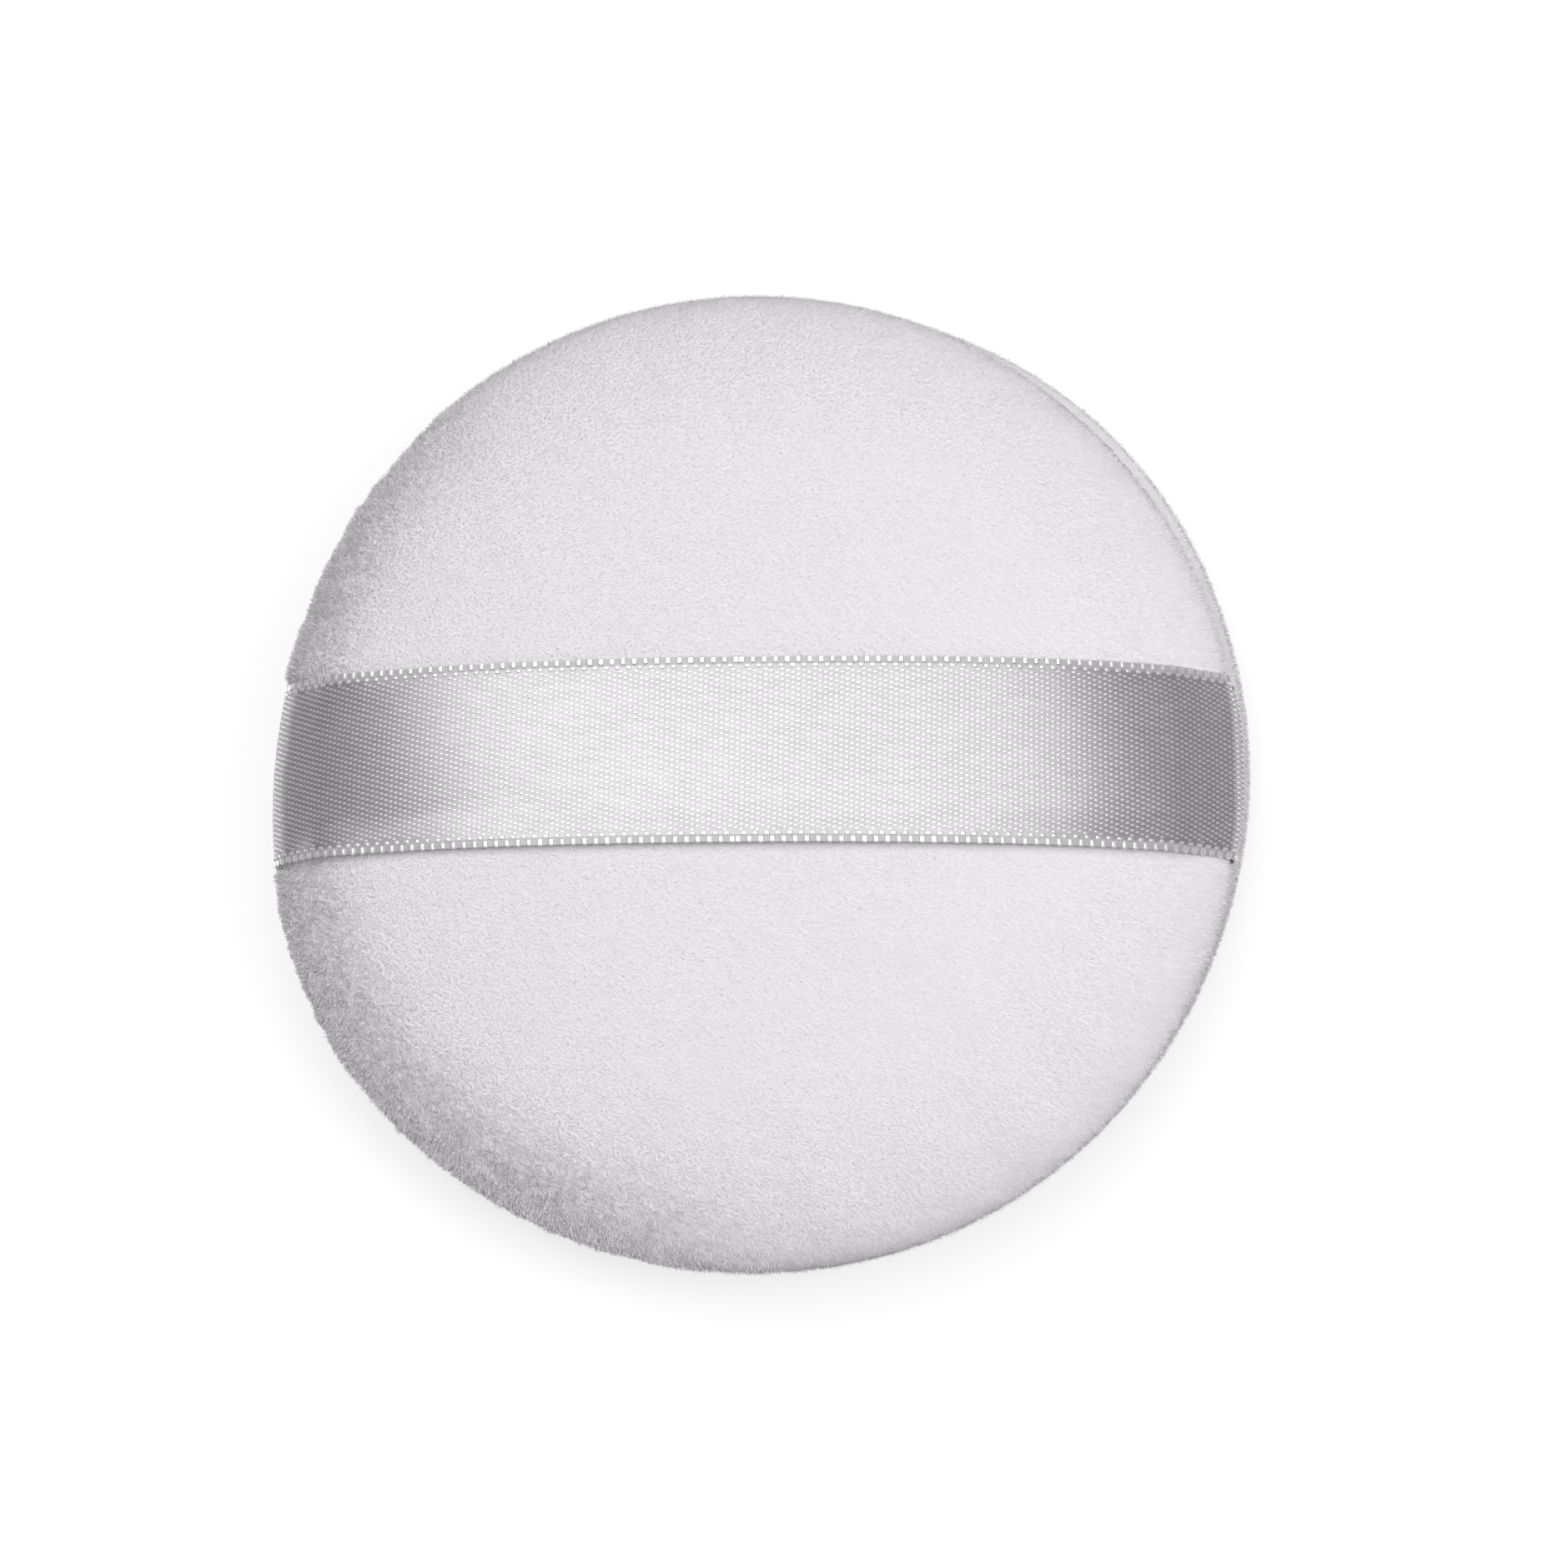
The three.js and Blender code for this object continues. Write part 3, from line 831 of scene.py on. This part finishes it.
def mapCover(mesh, skinPoints, p, reach):  # the bake's map: the cover unrolled, each fibre at its root
    unrolled = np.empty(len(mesh.vertices) * 3)
    mesh.attributes["unrolled"].data.foreach_get("vector", unrolled)
    flat = unrolled.reshape(-1, 3)[:, :2]
    fibres = flat[:-skinPoints].reshape(-1, len(fibreCorners), 2)
    fibres = fibres + fibreCorners[:, [0, 2]] * [p["width"], p["length"] / 2]
    flat[:-skinPoints] = fibres.reshape(-1, 2)
    corners = cornersOf(mesh)
    places = flat[corners]
    starts = np.empty(len(mesh.polygons), int)
    mesh.polygons.foreach_get("loop_start", starts)
    pole = np.nonzero(corners == len(flat) - 1)[0]  # the lining's pole is drawn out past its last ring
    first = starts[np.searchsorted(starts, pole, side="right") - 1]
    beside = places[first] + places[first + 1] + places[first + 2] - places[pole]
    places[pole] = beside * (reach / np.linalg.norm(beside, axis=1))[:, None]
    bakeMap(mesh, places, reach)


facePile = {**pileSetup, "density": 36, "width": 0.09, "seed": 8}
pileNodes = pileTree(pileSetup)
for name, shape, material, node, pileOf in (
        ("velour_back", backShape, backVelour, "back_cover", pileSetup),
        ("velour_face", faceShape, faceVelour, "face_cover", facePile)):
    cover, lengths, skinRings = coverMesh(name, puffShape, shape, material)
    dressCover(cover.data, puffShape, shape, pileOf, pileLay, lengths[:skinRings])
    reach = unrollCover(cover.data, puffShape, lengths, skinRings)
    skinPoints = len(cover.data.vertices)
    fibreShape = fibreBlade(pileOf)
    mesh = growMesh(cover, pileNodes, {
        "Density": pileOf["density"] / mm ** 2, "Stray": pileOf["stray"], "Seed": pileOf["seed"],
        "Fibre": fibreShape, "Fibre Material": pileFibre})
    bpy.data.objects.remove(fibreShape)
    mesh.shade_smooth()
    mesh.name = name
    points = pointsOf(mesh)
    points[:, 2] = np.maximum(points[:, 2], pileOf["lowest"])
    setPoints(mesh, points)
    mapCover(mesh, skinPoints, pileOf, reach)
    triangles = sum(len(f.vertices) - 2 for f in mesh.polygons)
    print(name, len(mesh.vertices), "points", triangles, "triangles")
    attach(cover, "puff")
    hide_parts(node)

# satin ribbon

weave = {
    "rowPitch": 0.139,  # from one row to the next, closer than a float is wide
    "floatPitch": 1.29,  # along a row
    "shed": -1 / 3,  # each row starts this share of a float further on
    "rowShift": 100.01,  # in floats: keeps every row's start above zero
    "selvedge": 0.98,
    "loopPitch": 0.90,
    "loopAcross": 7.18, "beadAcross": 6.70,  # from the ribbon's middle
    # length, width and height, and how wide the ends are, as a share
    "float": (0.38, 0.205, 0.07, 0.7),
    "loop": (0.46, 0.62, 0.17, 0.9),
    "bead": (0.48, 0.32, 0.13, 0.7),
    "sink": 0.03,  # their edges go this far into the ground
    # smallest and largest share of those sizes
    "floatSizes": ((0.9, 0.88, 0.75), (1.06, 1.06, 1.15)), "floatSeed": 4,
    "loopSizes": ((0.88, 0.9, 0.85), (1.1, 1.08, 1.15)), "loopSeeds": (3, 9),
    "sharpAngles": (50, 28, 40),  # of the ground, the floats and the selvedge
    "pastSeam": 1,  # the pattern goes on this far towards the tail
}


def crownHeight(radius):  # of the back's nominal surface over the seam
    c = backShape
    full = puffShape["seamRadius"] + c["bulge"]
    share = np.sqrt(np.clip(1 - (np.minimum(radius, full) / full) ** puffShape["crownPower"], 0, 1))
    return c["bulgeRise"] + (c["rise"] - c["bulgeRise"]) * share


def slopeAlong(line):
    slope = np.gradient(line, axis=0)
    return slope / np.hypot(*slope.T)[:, None]


def ribbonLine(r, side):  # one half's underside in section, from the top of the back to its cut end
    s, c = puffShape, backShape
    seam = s["seamRadius"]
    full = seam + c["bulge"]
    crown = crownLine(full, c["rise"], c["bulgeRise"], c["rise"], s["crownPower"])
    crown = resample(crown, r["crownPoints"])
    slope = slopeAlong(crown)
    outward = np.stack([-slope[:, 1], slope[:, 0]], 1)
    outward[0] = (0, 1)
    outward[-1] = (1, 0)
    over = crown + outward * r["gap"]
    start, end = r["taut"][side > 0]
    over = over[(over[:, 0] < start) | (over[:, 0] > end)]
    turnIn = [[seam + out, height] for out, height in r["turnIn"]]
    down = [[full + r["gap"], r["turnDown"][side > 0]], [full, c["bulgeRise"] / 2],
            *turnIn, [seam - r["tail"], 0]]
    return ease(resample(np.vstack([over, down]), r["linePoints"]), r["easePasses"])


def layOnPuff(points, side, r):  # flat ribbon (along, across, up) to its place on the puff
    line = ribbonPaths[side]
    along, across, up = points.T
    distance = along * side
    lengths = alongLine(line)
    radius, height, runOut, runUp = (
        np.interp(distance, lengths, column) for column in (*line.T, *slopeAlong(line).T))
    radius = np.where(distance < 0, distance, radius)  # a little of each half passes the middle
    full = puffShape["seamRadius"] + backShape["bulge"]
    drawnIn = full - np.sqrt(full ** 2 - across ** 2)
    rim = (np.abs(radius) / full) ** r["rimPower"]
    turn = np.arctan2(across, np.abs(radius) * side)
    share = (np.abs(radius) / puffShape["seamRadius"]) ** puffShape["roundPower"]
    uneven = share * outOfRound(puffShape, backShape, turn, height)
    edge = smoothStep(np.abs(across), r["edgeShare"] * r["width"] / 2, r["width"] / 2)
    nearLeft = np.exp(-((along - r["leftCurlPlace"]) / r["leftCurlReach"]) ** 2)
    curl = edge * (r["curl"] * (across < 0) + r["leftCurl"] * nearLeft)
    pressedIn = (r["sinks"][side > 0] + r["hugs"][side > 0] * edge) * rim
    x = radius - drawnIn * rim - runUp * up + uneven - pressedIn
    z = height + runOut * up + curl * (1 - smoothStep(radius, *r["curlEnd"]))
    fall = crownHeight(np.hypot(radius, across)) - crownHeight(np.abs(radius))
    z = z + fall * (1 - smoothStep(np.abs(radius), *r["fallEnd"]))
    x = x * side
    y = across + ribbonMiddle(np.clip(x, -r["bowRadius"], r["bowRadius"]))
    return np.stack([x, y, z + puffShape["seamHeight"]], 1)


ribbonPaths = {side: ribbonLine(ribbonShape, side) for side in (-1, 1)}
ribbonLengths = {side: float(alongLine(path)[-1]) for side, path in ribbonPaths.items()}
print("ribbon halves", [round(length, 2) for length in ribbonLengths.values()], "mm")


def ribbonBand(name, side):  # the woven ground of one half, closed all round, painted dark as painted shade between the floats
    r = ribbonShape
    steps, rows = r["groundSteps"], r["groundRows"]
    half = r["width"] / 2 - r["groundInset"]
    row = np.linspace(-half, half, rows + 1)
    across = np.concatenate([row, row[::-1]])  # over the upper side, and back underneath
    up = np.repeat([r["thickness"], 0.0], rows + 1)
    around = len(across)
    along = np.linspace(0, ribbonLengths[side], steps + 1) * side
    points = np.stack([np.repeat(along, around), np.tile(across, steps + 1), np.tile(up, steps + 1)], 1)
    faces = ringQuads(steps + 1, around)
    for j in range(rows):  # the two ends
        end = (j, j + 1, around - 2 - j, around - 1 - j)
        faces += [end, tuple(steps * around + corner for corner in end[::-1])]
    band = addPiece(name, layOnPuff(points, side, r), facing(faces, side), satinGroundPaintedShade)
    band.data.materials.append(selvedgeGroundPaintedShade)
    for start in range(0, steps * around, around):
        for j in (0, rows - 1):  # the upper faces under the loops, which take the painted shade
            band.data.polygons[start + j].material_index = 1
    return band


# along a bead: place, height and width; across it: place and height; all as shares
beadStations = (
    (-0.5, 0.0, None), (-0.37, 0.82, 0.92), (0.0, 1.0, 1.0), (0.37, 0.82, 0.92), (0.5, 0.0, None))
beadArc = ((-0.5, 0.0), (-0.34, 0.9), (0.0, 1.0), (0.34, 0.9), (0.5, 0.0))


def beadPiece(name, size, material):  # a rounded bead, long or short, open below
    length, width, height, ends = size
    sink = weave["sink"]
    points = [(a * length, b * width * (ends if wide is None else wide),
               up * height * tall - sink * (1 - up * tall))
              for a, tall, wide in beadStations for b, up in beadArc]
    n = len(beadArc)
    faces = [(i * n + j, (i + 1) * n + j, (i + 1) * n + j + 1, i * n + j + 1)
             for i in range(len(beadStations) - 1) for j in range(n - 1)]
    return addPiece(name, points, faces, material)


def floatTree(w):
    tree, given = newTree("satinFloats", {
        "Columns": "Int", "Rows": "Int", "Float Pitch": "Float", "Row Pitch": "Float",
        "Shed": "Float", "First Column": "Float", "Float": "Object", "Thread": "Material"})
    wide = addNode(tree, "ShaderNodeMath", {"operation": "SUBTRACT"}, {0: given["Columns"], 1: 1.0})
    wide = addNode(tree, "ShaderNodeMath", {"operation": "MULTIPLY"}, {0: wide, 1: given["Float Pitch"]})
    deep = addNode(tree, "ShaderNodeMath", {"operation": "SUBTRACT"}, {0: given["Rows"], 1: 1.0})
    deep = addNode(tree, "ShaderNodeMath", {"operation": "MULTIPLY"}, {0: deep, 1: given["Row Pitch"]})
    grid = addNode(tree, "GeometryNodeMeshGrid", inputs={
        "Size X": wide, "Size Y": deep, "Vertices X": given["Columns"], "Vertices Y": given["Rows"]})
    place = addNode(tree, "GeometryNodeInputPosition")
    parts = addNode(tree, "ShaderNodeSeparateXYZ", inputs={0: place})
    start = parts.outputs["Y"]  # from a row's place across to where its first float begins
    for operation, *others in (
            ("DIVIDE", given["Row Pitch"]), ("MULTIPLY", given["Shed"]), ("ADD", w["rowShift"]),
            ("FRACT",), ("ADD", given["First Column"]), ("MULTIPLY", given["Float Pitch"])):
        inputs = dict(enumerate([start, *others]))
        start = addNode(tree, "ShaderNodeMath", {"operation": operation}, inputs)
    half = addNode(tree, "ShaderNodeMath", {"operation": "MULTIPLY_ADD"}, {0: wide, 1: 0.5, 2: start})
    move = addNode(tree, "ShaderNodeCombineXYZ", inputs={"X": half})
    placed = addNode(tree, "GeometryNodeSetPosition", inputs={
        "Geometry": grid.outputs["Mesh"], "Offset": move})
    shape = addNode(tree, "GeometryNodeObjectInfo", inputs={"Object": given["Float"]})
    size = addNode(tree, "FunctionNodeRandomValue", {"data_type": "FLOAT_VECTOR"},
                   {0: w["floatSizes"][0], 1: w["floatSizes"][1], "Seed": w["floatSeed"]})
    floats = addNode(tree, "GeometryNodeInstanceOnPoints", inputs={
        "Points": placed, "Instance": shape.outputs["Geometry"], "Scale": size})
    floats = addNode(tree, "GeometryNodeRealizeInstances", inputs={"Geometry": floats})
    floats = addNode(tree, "GeometryNodeSetMaterial", inputs={
        "Geometry": floats, "Material": given["Thread"]})
    addNode(tree, "NodeGroupOutput", inputs={"Geometry": floats})
    return tree


def edgeTree(w):
    tree, given = newTree("selvedgeLoops", {
        "Count": "Int", "Pitch": "Float", "Loop Across": "Float", "Bead Across": "Float",
        "Loop": "Object", "Bead": "Object", "Thread": "Material"})
    joined = addNode(tree, "GeometryNodeJoinGeometry")
    step = addNode(tree, "ShaderNodeCombineXYZ", inputs={"X": given["Pitch"]})
    for shape, across, share in (("Loop", "Loop Across", 0.25), ("Bead", "Bead Across", 0.75)):
        along = addNode(tree, "ShaderNodeMath", {"operation": "MULTIPLY"}, {0: given["Pitch"], 1: share})
        part = addNode(tree, "GeometryNodeObjectInfo", inputs={"Object": given[shape]})
        for sign, seed in zip((-1.0, 1.0), w["loopSeeds"]):
            far = addNode(tree, "ShaderNodeMath", {"operation": "MULTIPLY"}, {0: given[across], 1: sign})
            start = addNode(tree, "ShaderNodeCombineXYZ", inputs={"X": along, "Y": far})
            line = addNode(tree, "GeometryNodeMeshLine", {"mode": "OFFSET"}, {
                "Count": given["Count"], "Start Location": start, "Offset": step})
            size = addNode(tree, "FunctionNodeRandomValue", {"data_type": "FLOAT_VECTOR"},
                           {0: w["loopSizes"][0], 1: w["loopSizes"][1], "Seed": seed})
            turn = (0, 0, math.pi if sign < 0 else 0.0)
            loops = addNode(tree, "GeometryNodeInstanceOnPoints", inputs={
                "Points": line, "Instance": part.outputs["Geometry"], "Rotation": turn, "Scale": size})
            tree.links.new(loops.outputs[0], joined.inputs[0])
    loops = addNode(tree, "GeometryNodeRealizeInstances", inputs={"Geometry": joined})
    loops = addNode(tree, "GeometryNodeSetMaterial", inputs={
        "Geometry": loops, "Material": given["Thread"]})
    addNode(tree, "NodeGroupOutput", inputs={"Geometry": loops})
    return tree


def layPiece(mesh, side, mirrored):  # from flat to the puff, with its flat places as the bake's map
    length = ribbonLengths[side]
    flat = pointsOf(mesh)
    flat[:, 2] += ribbonShape["thickness"]
    if mirrored:
        flat[:, 0] *= side
    bakeMap(mesh, flat[cornersOf(mesh), :2] - [side * length / 2, 0], length / 2)
    setPoints(mesh, layOnPuff(flat, side, ribbonShape))
    if mirrored and side < 0:
        mesh.flip_normals()


floatShape = beadPiece("floatShape", weave["float"], satinFloat)
loopShape = beadPiece("loopShape", weave["loop"], satinEdge)
beadShape = beadPiece("beadShape", weave["bead"], satinEdge)
floatNodes = floatTree(weave)
edgeNodes = edgeTree(weave)
inner = ribbonShape["width"] / 2 - weave["selvedge"]
rows = int(2 * inner / weave["rowPitch"])
for label, side in (("left", -1), ("right", 1)):
    ribbonLength = ribbonLengths[side]
    patterned = ribbonLength - ribbonShape["tail"] + weave["pastSeam"]
    columns = int(patterned / weave["floatPitch"])
    band = ribbonBand("ribbon_" + label, side)
    face = addPiece("satin_face_" + label, [], [], satinFloat)
    mesh = growMesh(face, floatNodes, {
        "Columns": columns, "Rows": rows,
        "Float Pitch": weave["floatPitch"] * mm, "Row Pitch": weave["rowPitch"] * mm,
        "Shed": weave["shed"], "First Column": 0.0 if side > 0 else -float(columns),
        "Float": floatShape, "Thread": satinFloat})
    layPiece(mesh, side, mirrored=False)
    edge = addPiece("selvedge_" + label, [], [], satinEdge)
    mesh = growMesh(edge, edgeNodes, {
        "Count": int(patterned / weave["loopPitch"]), "Pitch": weave["loopPitch"] * mm,
        "Loop Across": weave["loopAcross"] * mm, "Bead Across": weave["beadAcross"] * mm,
        "Loop": loopShape, "Bead": beadShape, "Thread": satinEdge})
    layPiece(mesh, side, mirrored=True)
    for piece, angle in zip((band, face, edge), weave["sharpAngles"]):
        piece.data.shade_smooth()
        piece.data.set_sharp_from_angle(angle=math.radians(angle))
    for piece in (band, face, edge):
        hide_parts("ribbon_strap")
        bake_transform(piece)
        triangles = sum(len(f.vertices) - 2 for f in piece.data.polygons)
        print(piece.name, triangles, "triangles")
for shape in (floatShape, loopShape, beadShape):
    bpy.data.objects.remove(shape)

# foam and threads, inside

foamShape = {
    "inset": 1.5,
    "grooveRadius": 33.6, "grooveRise": 2.45,
    "lipRadius": 36.2,
    "lipClear": 0.3,  # the crown's section ends this far over the groove
    "cellDepth": 0.10, "cellSize": 0.9, "cellShift": 1.7,
    "sectionPoints": 70,
    "turnSegments": 220,
}


def turnedSolid(name, line, segments, material):
    turn = np.linspace(0, 2 * math.pi, segments, endpoint=False)
    rings = line[1:-1]
    places = np.stack([
        rings[:, :1] * np.cos(turn), rings[:, :1] * np.sin(turn), rings[:, 1:] + 0 * turn], -1)
    points = np.vstack([places.reshape(-1, 3), [[0, 0, line[0, 1]], [0, 0, line[-1, 1]]]])
    faces = ringQuads(len(rings), segments) + poleFans(len(rings), segments)
    return addPiece(name, points, faces, material)


def foamLine(s, c):
    inset = s["inset"]
    radius = puffShape["seamRadius"] - inset  # clear of the cover also where that hangs back
    line = crownLine(
        radius, c["rise"] - inset, c["bulgeRise"], c["flatRise"] - inset, puffShape["crownPower"])
    grooveRise = s["grooveRise"]
    line = line[line[:, 1] > grooveRise + s["lipClear"]]
    groove = [[s["lipRadius"], grooveRise], [s["grooveRadius"], grooveRise], [s["grooveRadius"], 0]]
    return resample(np.vstack([line, groove]), s["sectionPoints"])


upper = foamLine(foamShape, backShape)
lower = foamLine(foamShape, faceShape)[::-1] * [1, -1]
section = np.vstack([upper, lower[1:]]) + [0, puffShape["seamHeight"]]
foam = turnedSolid("foam_disc", section, foamShape["turnSegments"], foamCells)
points, normals = pointsOf(foam.data), normalsOf(foam.data)
cells = np.abs(noiseAt(points, foamShape["cellSize"], foamShape["cellShift"])[:, :1])
setPoints(foam.data, points - normals * foamShape["cellDepth"] * cells)
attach(foam, "puff")
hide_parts("foam_core")
for node in ("needle_thread", "bobbin_thread", "closing_thread"):
    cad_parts[node].data.materials.clear()
    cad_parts[node].data.materials.append(sewingThread)
print("inside ready")
